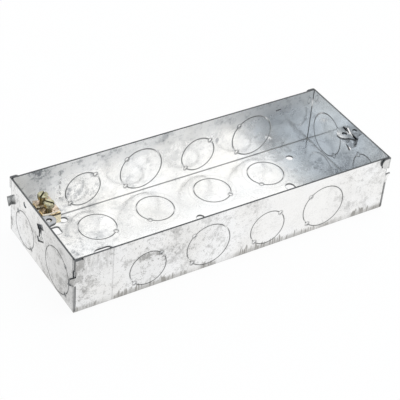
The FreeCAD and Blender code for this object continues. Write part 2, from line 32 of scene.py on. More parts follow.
LOG = logging.getLogger("flush_back_box")
MM = 0.001
THREAD_MM = 0.6
FEW_LAYERS = 2.0
FACING = 0.5
WHITE = (1.0, 1.0, 1.0)
Span = tuple[float, float]
Triple = tuple[float, float, float]
Colour = Triple


# Shader maths

class Number:
    """A number socket that takes part in Python sums, each of which adds a Math node."""

    def __init__(self, graph: "Graph", socket: bpy.types.NodeSocket) -> None:
        """Wrap a socket of a graph.

        Args:
            graph: The node tree's builder.
            socket: The output socket to wrap.
        """
        self.graph = graph
        self.socket = socket

    def math(self, operation: str, *others: "Number | float") -> "Number":
        """Apply a Math operation to this number and others.

        Args:
            operation: The Math node's operation.
            others: The further operands.

        Returns:
            The result.
        """
        return self.graph.math(operation, self, *others)

    def __add__(self, other: "Number | float") -> "Number":
        """Add."""
        return self.math("ADD", other)

    def __mul__(self, other: "Number | float") -> "Number":
        """Multiply."""
        return self.math("MULTIPLY", other)

    def __sub__(self, other: "Number | float") -> "Number":
        """Subtract."""
        return self.math("SUBTRACT", other)

    def __rsub__(self, other: float) -> "Number":
        """Subtract this number from a plain one."""
        return self.graph.math("SUBTRACT", other, self)

    def __abs__(self) -> "Number":
        """Drop the sign."""
        return self.math("ABSOLUTE")

    def __gt__(self, other: "Number | float") -> "Number":
        """One where this number is greater, else zero."""
        return self.math("GREATER_THAN", other)

    def __lt__(self, other: "Number | float") -> "Number":
        """One where this number is less, else zero."""
        return self.math("LESS_THAN", other)

    def __or__(self, other: "Number | float") -> "Number":
        """The greater of two masks."""
        return self.math("MAXIMUM", other)

    def rise(self, low: float, high: float) -> "Number":
        """A smooth step from zero at low to one at high; low may lie above high.

        Args:
            low: Where the step leaves zero.
            high: Where it reaches one.

        Returns:
            A mask from zero to one.
        """
        turned = low > high
        node = self.graph.node(
            "ShaderNodeMapRange",
            {"interpolation_type": "SMOOTHSTEP", "clamp": True},
            {
                "Value": self,
                "From Min": min(low, high),
                "From Max": max(low, high),
                "To Min": float(turned),
                "To Max": float(not turned),
            },
        )
        return Number(self.graph, node.outputs["Result"])

    def within(self, low: float, high: float) -> "Number":
        """One between two values, else zero."""
        return (self > low) * (self < high)


@dataclass(frozen=True)
class Surface:
    """A shaded point: its place in millimetres, that place's parts and its direction's."""

    graph: "Graph"
    place: bpy.types.NodeSocket
    x: Number
    y: Number
    z: Number
    facing: tuple[Number, Number, Number]


class Graph:
    """Builds the node tree of one material or of the world."""

    def __init__(self, owner: bpy.types.Material | bpy.types.World) -> None:
        """Start with an empty tree.

        Args:
            owner: The material or world that holds the tree.
        """
        self.owner = owner
        owner.use_nodes = True
        self.tree = owner.node_tree
        self.tree.nodes.clear()

    def node(
        self,
        kind: str,
        settings: dict[str, Any] | None = None,
        inputs: dict[str | int, Any] | None = None,
    ) -> bpy.types.Node:
        """Add a node.

        Args:
            kind: The node's type.
            settings: Its settings, set first.
            inputs: Values or links of its sockets, by name or index.

        Returns:
            The new node.
        """
        node = self.tree.nodes.new(kind)
        for name, value in (settings or {}).items():
            setattr(node, name, value)
        for name, value in (inputs or {}).items():
            self.feed(node.inputs[name], value)
        return node

    def feed(self, socket: bpy.types.NodeSocket, value: Any) -> None:
        """Link a socket, or set its plain value.

        Args:
            socket: The input socket.
            value: A Number, an output socket, a number or a tuple.
        """
        if isinstance(value, Number):
            self.tree.links.new(value.socket, socket)
        elif isinstance(value, bpy.types.NodeSocket):
            self.tree.links.new(value, socket)
        elif socket.type == "RGBA" and len(value) == 3:
            socket.default_value = (*value, 1.0)
        else:
            socket.default_value = value

    def math(self, operation: str, *values: Number | float) -> Number:
        """Add a Math node.

        Args:
            operation: Its operation.
            values: Its operands.

        Returns:
            The result.
        """
        inputs = dict(enumerate(values))
        node = self.node("ShaderNodeMath", {"operation": operation}, inputs)
        return Number(self, node.outputs[0])

    def mix(self, factor: Number, low: Any, high: Any) -> bpy.types.NodeSocket:
        """Mix two colours.

        Args:
            factor: How far towards the second colour.
            low: The first colour.
            high: The second colour.

        Returns:
            The mixed colour's socket.
        """
        inputs = {0: factor, 6: low, 7: high}
        return self.node("ShaderNodeMix", {"data_type": "RGBA"}, inputs).outputs[2]

    def surface(self) -> Surface:
        """Read the shaded point.

        Returns:
            The point, with its place in millimetres.
        """
        coordinates = self.node("ShaderNodeTexCoord")
        place = self.scaled(coordinates.outputs["Object"], (1 / MM, 1 / MM, 1 / MM))
        facing = self.parts(coordinates.outputs["Normal"])
        return Surface(self, place, *self.parts(place), facing)

    def parts(self, vector: bpy.types.NodeSocket) -> tuple[Number, Number, Number]:
        """Split a vector into its three numbers."""
        node = self.node("ShaderNodeSeparateXYZ", inputs={0: vector})
        x, y, z = (Number(self, socket) for socket in node.outputs)
        return x, y, z

    def scaled(self, vector: bpy.types.NodeSocket, factors: Triple) -> bpy.types.NodeSocket:
        """Multiply a vector by three factors."""
        node = self.node(
            "ShaderNodeVectorMath", {"operation": "MULTIPLY"}, {0: vector, 1: factors}
        )
        return node.outputs[0]

    def noise(
        self, vector: bpy.types.NodeSocket, size: float, detail: float = 3.0, crisp: float = 0.6
    ) -> Number:
        """Cloudy noise between zero and one.

        Args:
            vector: Where to read it.
            size: The size of its largest blots, in the vector's units.
            detail: How many finer layers it has.
            crisp: How strong the finer layers are.

        Returns:
            The noise.
        """
        node = self.node(
            "ShaderNodeTexNoise",
            inputs={
                "Vector": vector,
                "Scale": 1.0 / size,
                "Detail": detail,
                "Roughness": crisp,
            },
        )
        return Number(self, node.outputs[0])

    def bump(self, height: Number, strength: float, distance: float) -> bpy.types.NodeSocket:
        """A normal from a height.

        Args:
            height: The height, from zero to one.
            strength: How strongly it shows.
            distance: What a height of one means, in metres.

        Returns:
            The normal's socket.
        """
        node = self.node(
            "ShaderNodeBump", inputs={"Height": height, "Strength": strength, "Distance": distance}
        )
        return node.outputs[0]

    def finish(self, **inputs: Any) -> bpy.types.Material:
        """Close the tree with a Principled shader.

        Args:
            inputs: Its sockets, with an underscore for each space.

        Returns:
            The finished material.
        """
        named = {name.replace("_", " "): value for name, value in inputs.items()}
        shader = self.node("ShaderNodeBsdfPrincipled", inputs=named)
        self.node("ShaderNodeOutputMaterial", inputs={"Surface": shader.outputs[0]})
        return self.owner


def far(across: Number, up: Number, spot: Span) -> Number:
    """The distance from a spot of a wall.

    Args:
        across: Place across the wall.
        up: Place up the wall.
        spot: The spot's place.

    Returns:
        The distance.
    """
    first, second = across - spot[0], up - spot[1]
    return (first * first + second * second).math("SQRT")


def thread(height: Number) -> Number:
    """The wave of a screw thread, from minus one to one."""
    return (height * (2 * math.pi / THREAD_MM)).math("SINE")


# Finishes

@dataclass(frozen=True)
class Line:
    """A soft line: the distances where it starts and where it is full, and its strength."""

    start: float
    full: float
    share: float = 1.0

    def at(self, distance: Number) -> Number:
        """A mask of the line, from the distance to its middle."""
        return distance.rise(self.start, self.full) * self.share


@dataclass(frozen=True)
class Layer:
    """A layer of noise cut by a smooth step: its blots' size, detail, crispness and stretch."""

    size_mm: float
    detail: float
    step: Span
    crisp: float = 0.6
    stretch: Triple | None = None

    def mask(self, spot: Surface) -> Number:
        """The layer's blots at a point, from zero to one."""
        place = spot.graph.scaled(spot.place, self.stretch) if self.stretch else spot.place
        return spot.graph.noise(place, self.size_mm, self.detail, self.crisp).rise(*self.step)


class Zone(Enum):
    """The parts of the sheet that carry marks of their own."""

    LONG = "both long walls"
    LEFT = "left end wall"
    RIGHT = "right end wall"
    BASE = "base"
    FRONT_OUTSIDE = "outside of the front wall"
    FRONT_WORN = "the same, less its polished part"
    LEFT_OUTSIDE = "outside of the left end"
    LONG_INSIDE = "insides of the long walls"
    RIGHT_INSIDE = "inside of the right end"
    FAR_WALLS = "insides of the walls near the right end"
    FAR_BASE = "base near the right end"
    DISCS = "discs of the long walls"
    TABS = "rim tabs"
    TONGUES = "twisted tongues"


@dataclass(frozen=True)
class Knockout:
    """One sheared disc: its wall, centre, radius and the bearings of its ties."""

    zone: Zone
    centre_mm: Span
    radius_mm: float
    bearings_deg: tuple[float, ...]

    def ties_mm(self) -> list[Span]:
        """The middle of each tie."""
        across, up = self.centre_mm
        turns = [math.radians(bearing) for bearing in self.bearings_deg]
        return [
            (across + self.radius_mm * math.cos(turn), up + self.radius_mm * math.sin(turn))
            for turn in turns
        ]


SMALL_MM, LARGE_MM = 10.4, 12.75
SMALL_TIES, LARGE_TIES = (45.0, -135.0), (135.0, -135.0)
KNOCKOUTS = (
    Knockout(Zone.LONG, (-53.4, 14.2), SMALL_MM, SMALL_TIES),
    Knockout(Zone.LONG, (-18.1, 16.1), LARGE_MM, LARGE_TIES),
    Knockout(Zone.LONG, (18.1, 14.2), SMALL_MM, SMALL_TIES),
    Knockout(Zone.LONG, (53.4, 16.1), LARGE_MM, LARGE_TIES),
    Knockout(Zone.BASE, (-53.4, 17.5), SMALL_MM, (-45.0,)),
    Knockout(Zone.BASE, (-18.1, 17.5), SMALL_MM, (-135.0,)),
    Knockout(Zone.BASE, (18.1, 17.5), SMALL_MM, (-45.0,)),
    Knockout(Zone.BASE, (53.4, 17.5), SMALL_MM, (-135.0,)),
    Knockout(Zone.LEFT, (18.7, 13.2), SMALL_MM, SMALL_TIES),
    Knockout(Zone.LEFT, (-17.9, 15.0), LARGE_MM, LARGE_TIES),
    Knockout(Zone.RIGHT, (-18.7, 13.2), SMALL_MM, SMALL_TIES),
    Knockout(Zone.RIGHT, (17.9, 15.0), LARGE_MM, LARGE_TIES),
)


@dataclass(frozen=True)
class BaseHole:
    """A hole of the base: a rounded corner's radius around a straight part, in millimetres."""

    spot_mm: Span
    straight_mm: Span
    radius_mm: float
    burr: float


BASE_HOLES = (
    BaseHole((0.0, 0.0), (0.0, 0.0), 2.2, 0.8),
    BaseHole((-66.9, 30.5), (0.0, 0.0), 2.2, 0.9),
    BaseHole((-75.0, 24.1), (1.9, 1.9), 1.2, 1.0),
    BaseHole((-59.4, -1.2), (2.7, 0.0), 2.6, 0.7),
    BaseHole((59.4, -1.2), (0.0, 2.7), 2.6, 0.6),
)
POLISHED_MM = 36.0
POLISH = (34.0, 8.0)


@dataclass(frozen=True)
class FoldedSheet:
    """The sizes that the marks follow.

    Of outside_mm and inside_mm, the first number is along the length and the second across
    the width: a wall's outside lies beyond outside_mm, and its inside between the two.
    """

    half_length_mm: float = 95.0
    half_width_mm: float = 35.8
    sheet_mm: float = 1.0
    bend_mm: float = 1.5
    outside_mm: Span = (94.5, 35.0)
    inside_mm: Span = (93.5, 34.0)
    slack_mm: float = 0.05
    fold_mm: float = 0.5
    polish_share: float = 0.9
    far_mm: Span = (52.0, 66.0)

    def zones(self, spot: Surface) -> dict[Zone, Number]:
        """Where each zone lies.

        Args:
            spot: The shaded point.

        Returns:
            A mask for each zone.
        """
        x, y, z = spot.x, spot.y, spot.z
        end_mm = self.half_length_mm - self.sheet_mm - self.slack_mm
        long_mm = self.half_width_mm - self.sheet_mm - self.slack_mm
        above = z > self.bend_mm + self.slack_mm
        long_walls = (abs(y) > long_mm) * (abs(x) < end_mm + self.slack_mm) * above
        base = (z < self.sheet_mm + self.slack_mm) * (abs(x) < end_mm - self.fold_mm)
        base = base * (abs(y) < long_mm - self.fold_mm)
        front = y < -self.outside_mm[1]
        right = x.rise(*self.far_mm) * (abs(y) < self.outside_mm[1]) * (x < self.half_length_mm)
        discs = long_walls * 0.0
        for knockout in KNOCKOUTS:
            if knockout.zone is Zone.LONG:
                discs = discs | (far(x, z, knockout.centre_mm) < knockout.radius_mm)
        return {
            Zone.LONG: long_walls,
            Zone.LEFT: (x < -end_mm) * above,
            Zone.RIGHT: (x > end_mm) * above,
            Zone.BASE: base,
            Zone.FRONT_OUTSIDE: front,
            Zone.FRONT_WORN: front * (1 - abs(x - POLISHED_MM).rise(*POLISH) * self.polish_share),
            Zone.LEFT_OUTSIDE: x < -self.outside_mm[0],
            Zone.LONG_INSIDE: abs(y).within(self.inside_mm[1], self.outside_mm[1]),
            Zone.RIGHT_INSIDE: x.within(self.inside_mm[0], self.outside_mm[0]),
            Zone.FAR_WALLS: right * (1 - base),
            Zone.FAR_BASE: right * base,
            Zone.DISCS: discs * long_walls,
            Zone.TABS: abs(y) > self.half_width_mm + self.slack_mm,
            Zone.TONGUES: abs(x) > self.half_length_mm + self.slack_mm,
        }


@dataclass(frozen=True)
class Shearing:
    """The sheet's cut edges: faces that lie across their wall, told by their direction, and painted
    shade on the twisted tongues.
    """

    edge: Span = (0.8, 0.5)
    tab_edge: Span = (0.9, 0.6)
    tongue_edge: Span = (0.9, 0.7)
    tongue_top: Span = (0.75, 0.95)
    tongue_share: float = 0.8
    side_share: float = 0.3
    tongue_mm: Span = (18.0, 23.7)

    def mask(self, spot: Surface, zones: dict[Zone, Number]) -> Number:
        """Where the cut edges show.

        Args:
            spot: The shaded point.
            zones: The zones' masks.

        Returns:
            A mask of the cut edges.
        """
        along, over, up = (abs(part) for part in spot.facing)
        tabs, tongues = zones[Zone.TABS], zones[Zone.TONGUES]
        sideways = 1 - over.rise(*self.edge)
        level = spot.z.within(*self.tongue_mm) * sideways
        ends = (zones[Zone.LEFT] | zones[Zone.RIGHT]) * (1 - tabs) * (1 - tongues) * (1 - level)
        cut = zones[Zone.LONG] * (1 - tabs) * over.rise(*self.edge)
        cut = cut | ends * along.rise(*self.edge) * (1 - sideways * self.side_share)
        cut = cut | zones[Zone.BASE] * up.rise(*self.edge)
        cut = cut | tabs * over.rise(*self.tab_edge)
        # On the tongues the cut edges darken, and so do the faces turned by the twist: painted
        # shade.
        twisted = over.rise(*self.tongue_edge) | up.rise(*self.tongue_top)
        return cut | tongues * twisted * self.tongue_share


@dataclass(frozen=True)
class Punching:
    """The punch's marks: painted shade along each slit and round each tie's pit and a dent, a faint
    arc round each base disc, a dark rim round each base hole, and the hollows of the pits and dent.
    """

    slit: Line = Line(0.62, 0.14)
    pit_mm: float = 1.3
    pit_gap_mm: float = 0.9
    pit_floor_mm: float = 0.5
    pit_rim: Line = Line(0.5, 0.12)
    halo_mm: float = 13.4
    halo: Line = Line(0.7, 0.1, 0.12)
    burr: Line = Line(0.55, 0.2)
    dent_spot_mm: Span = (91.5, 28.6)
    dent_squeeze: float = 1.9
    dent_mm: float = 2.1
    dent_rim: Line = Line(0.5, 0.1, 0.7)
    dent: Line = Line(2.2, 0.8)

    def masks(self, spot: Surface, zones: dict[Zone, Number]) -> tuple[Number, Number]:
        """Where the punch's marks lie.

        Args:
            spot: The shaded point.
            zones: The zones' masks.

        Returns:
            A mask of the painted shade lines, arcs and rims, and one of the hollows.
        """
        x, y, z = spot.x, spot.y, spot.z
        axes = {Zone.LONG: (x, z), Zone.BASE: (x, y), Zone.LEFT: (y, z), Zone.RIGHT: (y, z)}
        lines = hollows = zones[Zone.LONG] * 0.0
        for knockout in KNOCKOUTS:
            across, up = axes[knockout.zone]
            wall = zones[knockout.zone]
            middle = far(across, up, knockout.centre_mm)
            line = self.slit.at(abs(middle - knockout.radius_mm))
            for tie in knockout.ties_mm():
                reach = far(across, up, tie)
                line = line * reach.rise(self.pit_gap_mm, self.pit_mm)
                line = line | self.pit_rim.at(abs(reach - self.pit_mm))
                hollows = hollows | reach.rise(self.pit_mm, self.pit_floor_mm) * wall
            if knockout.zone is Zone.BASE:
                line = line | self.halo.at(abs(middle - self.halo_mm))
            lines = lines | line * wall
        for hole in BASE_HOLES:
            beyond = [
                (abs(part - middle) - straight) | 0.0
                for part, middle, straight in zip((x, y), hole.spot_mm, hole.straight_mm)
            ]
            burr = self.burr.at(far(*beyond, (0.0, 0.0)) - hole.radius_mm)
            lines = lines | burr * zones[Zone.BASE] * hole.burr
        dent_x, dent_z = self.dent_spot_mm
        reach = far((x - dent_x) * self.dent_squeeze, z, (0.0, dent_z))
        inner = zones[Zone.LONG_INSIDE]
        lines = lines | self.dent_rim.at(abs(reach - self.dent_mm)) * inner
        return lines, hollows | self.dent.at(reach) * inner


@dataclass(frozen=True)
class Folding:
    """The folds' marks, all painted shade: dark inner folds, corners, tab roots, seams and slot
    rims, and a grey outer hem.
    """

    sheet: FoldedSheet = FoldedSheet()
    long_fold: Line = Line(0.65, 0.25, 0.75)
    end_fold: Line = Line(0.8, 0.35, 0.5)
    corner: Line = Line(0.5, 0.2, 0.5)
    tab_root: Line = Line(0.14, 0.04)
    tab_from_mm: Span = (90.0, 29.0)
    seam: Line = Line(0.16, 0.05, 0.35)
    seam_from_mm: float = 1.0
    bone_mm: Span = (0.9, 24.4)
    stem_mm: Span = (1.3, 4.0)
    arm_mm: Span = (3.4, 1.3)
    arm_deg: float = -30.0
    bone_rim: Line = Line(0.55, 0.15, 0.8)
    bone_skin_mm: float = 0.1
    hem_mm: float = 0.6
    hem: Line = Line(1.7, 0.9)
    hem_shares: Span = (0.55, 0.3)

    def dark(self, spot: Surface) -> Number:
        """Painted shade: a dark line in each inner fold and corner, along each tab's root, down
        each corner seam and round the slot rims.

        Args:
            spot: The shaded point.

        Returns:
            A mask of the lines.
        """
        sheet, slack_mm = self.sheet, self.sheet.slack_mm
        length, width = abs(spot.x), abs(spot.y)
        end_mm = sheet.half_length_mm - sheet.sheet_mm
        long_mm = sheet.half_width_mm - sheet.sheet_mm
        off_end, off_long, off_base = end_mm - length, long_mm - width, spot.z - sheet.sheet_mm
        inside = (off_end > -slack_mm) * (off_long > -slack_mm) * (off_base > -slack_mm)
        lines = self.long_fold.at(off_long + off_base) | self.end_fold.at(off_end + off_base)
        lines = lines | self.corner.at(off_end + off_long)
        root = self.tab_root.at(abs(width - sheet.half_width_mm)) * (spot.z > self.tab_from_mm[1])
        root = root * length.within(self.tab_from_mm[0], end_mm)
        seam = self.seam.at(abs(width - long_mm)) * (off_end < -slack_mm)
        seam = seam * (off_base > self.seam_from_mm)
        return inside * lines | root | seam | self._slot_rims(spot)

    def _slot_rims(self, spot: Surface) -> Number:
        """Painted shade round the rim and down the sides of the bone-shaped slots, outside the end
        walls.

        Args:
            spot: The shaded point.

        Returns:
            A mask of the rims.
        """
        across_mm, level_mm = self.bone_mm
        stem_across_mm, stem_up_mm = self.stem_mm
        side, up = spot.x.math("SIGN") * spot.y + across_mm, spot.z - level_mm
        nearest = (abs(side) - stem_across_mm) | (abs(up) - stem_up_mm)
        turn = math.radians(self.arm_deg)
        for end_mm in (-stem_up_mm, stem_up_mm):
            along = side * math.cos(turn) - (up - end_mm) * math.sin(turn)
            over = side * math.sin(turn) + (up - end_mm) * math.cos(turn)
            arm = (abs(along) - self.arm_mm[0]) | (abs(over) - self.arm_mm[1])
            nearest = nearest.math("MINIMUM", arm)
        skin_mm = self.sheet.half_length_mm + self.bone_skin_mm
        return self.bone_rim.at(nearest) * abs(spot.x).within(self.sheet.outside_mm[0], skin_mm)

    def grey(self, spot: Surface) -> Number:
        """Painted shade: a greyer line along the outside of the bottom bends.

        Args:
            spot: The shaded point.

        Returns:
            A mask of the line.
        """
        ends = abs(spot.x) > self.sheet.half_length_mm - self.hem_mm
        longs = abs(spot.y) > self.sheet.half_width_mm - self.hem_mm
        return self.hem.at(spot.z) * (ends * self.hem_shares[0] | longs * self.hem_shares[1])


@dataclass(frozen=True)
class Share:
    """How strongly an even veil and each layer show in a zone, and the measures they fade by."""

    zone: Zone | None = None
    even: float = 0.0
    layers: dict[str, float] = field(default_factory=dict)
    fades: dict[str, Span] = field(default_factory=dict)


LAYERS = {
    "clouds": Layer(24.0, 6.0, (0.46, 0.62), 0.7),
    "blots": Layer(8.0, 8.0, (0.5, 0.62), 0.78),
    "fine": Layer(2.4, 6.0, (0.54, 0.64), 0.75),
    "specks": Layer(0.9, 2.0, (0.63, 0.72)),
    "rubs": Layer(0.7, 3.0, (0.62, 0.74), stretch=(0.07, 0.8, 0.8)),
    "hatch": Layer(1.3, 3.0, (0.38, 0.58), stretch=(1.0, 1.0, 0.25)),
}
LEFTWARD = (-10.0, -85.0)
UPWARD = (20.0, 33.0)
ZINC = (
    Share(layers={"clouds": 0.1, "blots": 0.12, "rubs": 0.12}),
    Share(layers={"blots": 0.16}, fades={"x": LEFTWARD}),
)
GRAIN = (Share(layers={"fine": 0.34, "specks": 0.3}),)
CROWDING = (
    Share(even=0.2, layers={"clouds": 0.35}),
    Share(Zone.BASE, 1.4, fades={"x": LEFTWARD}),
    Share(Zone.FRONT_OUTSIDE, 0.55, fades={"x": LEFTWARD}),
    Share(Zone.LEFT_OUTSIDE, 0.5),
)
CLEAN = (
    Share(Zone.BASE, 0.7, fades={"x": (-75.0, -25.0)}),
    Share(Zone.FRONT_OUTSIDE, 0.75, fades={"polish": POLISH}),
    Share(Zone.FAR_WALLS, 0.95),
)
# Stains and mottle, with painted shade in the shares marked below.
STAINS_AND_SHADE = (
    Share(Zone.FRONT_WORN, 0.03, {"blots": 0.26, "fine": 0.24}),
    Share(Zone.FRONT_OUTSIDE, 0.13, fades={"x": LEFTWARD}),
    Share(Zone.FRONT_OUTSIDE, 0.05, {"hatch": 0.3}, {"x": (-70.0, -77.0), "z": (21.0, 26.0)}),
    Share(Zone.DISCS, 0.07, {"blots": 0.28, "fine": 0.2}, {"x": (12.0, -50.0)}),
    Share(Zone.TABS, 0.3),
    # Painted shade: the left end's outside darker overall and darker towards the front, with mottle
    # in the blots.
    Share(Zone.LEFT_OUTSIDE, 0.18, {"blots": 0.2}),
    Share(Zone.LEFT_OUTSIDE, 0.36, fades={"y": (16.0, -24.0)}),
    Share(Zone.LEFT_OUTSIDE, 0.0, {"fine": 0.3, "blots": 0.2}, {"z": (16.0, 3.0)}),
    Share(Zone.BASE, 0.0, {"blots": 0.32}, {"x": LEFTWARD}),
    Share(Zone.BASE, 0.0, {"specks": 0.6, "fine": 0.5}, {"x": (-76.0, -92.0)}),
    Share(Zone.BASE, 0.0, {"fine": 0.8}, {"base_spot": (3.0, 1.0)}),
    # Painted shade: the base darker near the right end and most of all by its fold, with mottle.
    Share(Zone.FAR_BASE, 0.14, {"blots": 0.32, "fine": 0.12}),
    Share(Zone.FAR_BASE, 0.36, fades={"x": (72.0, 86.0)}),
    Share(Zone.FAR_WALLS, 0.0, {"blots": 0.26, "fine": 0.16}),
    # Painted shade: the right end's inside darker towards the front.
    Share(Zone.RIGHT_INSIDE, 0.26, fades={"y": (12.0, -10.0)}),
    # Painted shade: a darker band under the rim inside the long walls, with mottle, heavier to the
    # left.
    Share(Zone.LONG_INSIDE, 0.0, {"blots": 0.16, "fine": 0.2}, {"z": UPWARD}),
    Share(Zone.LONG_INSIDE, 0.0, {"blots": 0.16}, {"z": UPWARD, "x": LEFTWARD}),
    Share(Zone.LONG_INSIDE, 0.1, fades={"z": UPWARD, "x": (-10.0, -60.0)}),
    Share(Zone.LONG_INSIDE, 0.0, {"blots": 0.14, "fine": 0.1}, {"x": LEFTWARD}),
    Share(Zone.LONG_INSIDE, 0.7, fades={"wall_spot": (1.5, 0.6)}),
)
MATT = (
    Share(layers={"blots": 0.5, "clouds": 0.3, "fine": 0.3}),
    Share(Zone.BASE, 0.2),
    Share(Zone.LONG_INSIDE, 1.1, fades={"z": UPWARD}),
    Share(Zone.LONG_INSIDE, 1.4, fades={"x": (-66.0, -80.0)}),
)


@dataclass(frozen=True)
class Mottle:
    """The zinc's clouds, crisp blots, specks and rubbing marks, and bands of painted shade."""

    wall_spot_mm: Span = (30.2, 11.9)
    wall_spot_squeeze: float = 0.6
    base_spot_mm: Span = (28.2, 1.4)
    base_spot_squeeze: float = 0.8
    clotted_share: float = 0.16
    darkest: float = 0.95

    def masks(self, spot: Surface, zones: dict[Zone, Number]) -> tuple[Number, Number]:
        """How dark and how dull the zinc is.

        Args:
            spot: The shaded point.
            zones: The zones' masks.

        Returns:
            The darkness and the dullness.
        """
        x, y, z = spot.x, spot.y, spot.z
        layers = {name: layer.mask(spot) for name, layer in LAYERS.items()}
        measures = {
            "x": x,
            "y": y,
            "z": z,
            "polish": abs(x - POLISHED_MM),
            "wall_spot": far(x, z * self.wall_spot_squeeze, self.wall_spot_mm),
            "base_spot": far(x * self.base_spot_squeeze, y, self.base_spot_mm),
        }
        zinc, grain, crowding, clean, stains_and_shade, matt = (
            self._total(shares, zones, layers, measures)
            for shares in (ZINC, GRAIN, CROWDING, CLEAN, STAINS_AND_SHADE, MATT)
        )
        clotted = x.rise(*LEFTWARD) * layers["blots"] * layers["clouds"] * self.clotted_share
        shade = (zinc + clotted + grain * crowding) * (1 - clean) + stains_and_shade
        return shade.math("MINIMUM", self.darkest), matt

    @staticmethod
    def _total(
        shares: Sequence[Share],
        zones: dict[Zone, Number],
        layers: dict[str, Number],
        measures: dict[str, Number],
    ) -> Number:
        """Add up shares, each in its zone and within its fades.

        Args:
            shares: The shares.
            zones: The zones' masks.
            layers: The noise layers.
            measures: What the fades follow.

        Returns:
            Their sum.
        """
        total = 0.0
        for share in shares:
            amount = share.even
            for name, weight in share.layers.items():
                amount = layers[name] * weight + amount
            for name, span in share.fades.items():
                amount = measures[name].rise(*span) * amount
            if share.zone is not None:
                amount = zones[share.zone] * amount
            total = amount + total
        return total


@dataclass(frozen=True)
class Scuffing:
    """Upright marks: a scribed line in front, dashes inside the rear wall, the folder's combs, and
    a band of painted shade at the foot of the outside walls.
    """

    sheet: FoldedSheet = FoldedSheet()
    scribe_mm: float = -73.4
    scribe: Line = Line(0.5, 0.15, 0.25)
    dashes_mm: float = -67.0
    dashes: Line = Line(0.9, 0.4, 0.6)
    dash_layer: Layer = Layer(1.1, 2.0, (0.5, 0.56))
    dash_levels_mm: Span = (12.0, 31.0)
    crowd: Layer = Layer(16.0, 2.0, (0.36, 0.52), stretch=(1.0, 1.0, 0.0))
    streaks: Layer = Layer(0.95, 1.0, (0.44, 0.58), stretch=(1.0, 1.0, 0.05))
    tip_mm: float = 1.6
    reach_mm: float = 9.0
    short_mm: float = 0.6
    least_mm: float = 1.6
    tip_fade_mm: Span = (0.0, 1.4)
    comb_shares: Span = (0.38, 0.42)
    foot_shade: Line = Line(5.2, 2.0)
    foot_shade_shares: Span = (0.16, 0.4)
    levels_mm: Span = (0.1, 9.0)

    def strokes(self, spot: Surface, zones: dict[Zone, Number]) -> Number:
        """The scribed line and the row of dashes.

        Args:
            spot: The shaded point.
            zones: The zones' masks.

        Returns:
            A mask of the marks.
        """
        front = self.scribe.at(abs(spot.x - self.scribe_mm)) * zones[Zone.FRONT_OUTSIDE]
        rear = self.dashes.at(abs(spot.x - self.dashes_mm)) * self.dash_layer.mask(spot)
        rear = rear * zones[Zone.LONG_INSIDE] * (spot.y > 0.0)
        return front | rear * spot.z.within(*self.dash_levels_mm)

    def combs(self, spot: Surface) -> Number:
        """Short scuffs that the folding tool left outside, above the bottom bend, and a band of
        painted shade at the foot of the walls.

        Args:
            spot: The shaded point.

        Returns:
            A mask of the scuffs.
        """
        crowd = self.crowd.mask(spot)
        level = spot.graph.scaled(spot.place, self.crowd.stretch)
        tips = spot.graph.noise(level, self.tip_mm, FEW_LAYERS)
        height = (tips * self.reach_mm - self.short_mm) * crowd + self.least_mm
        combs = self.streaks.mask(spot) * (height - spot.z).rise(*self.tip_fade_mm)
        combs = combs * (crowd * self.comb_shares[1] + self.comb_shares[0])
        # Painted shade: a darker band at the foot of the outside walls.
        foot_shade = self.foot_shade.at(spot.z) * (crowd * self.foot_shade_shares[1] + self.foot_shade_shares[0])
        outside = abs(spot.y) > self.sheet.outside_mm[1]
        return (combs | foot_shade) * spot.z.within(*self.levels_mm) * outside


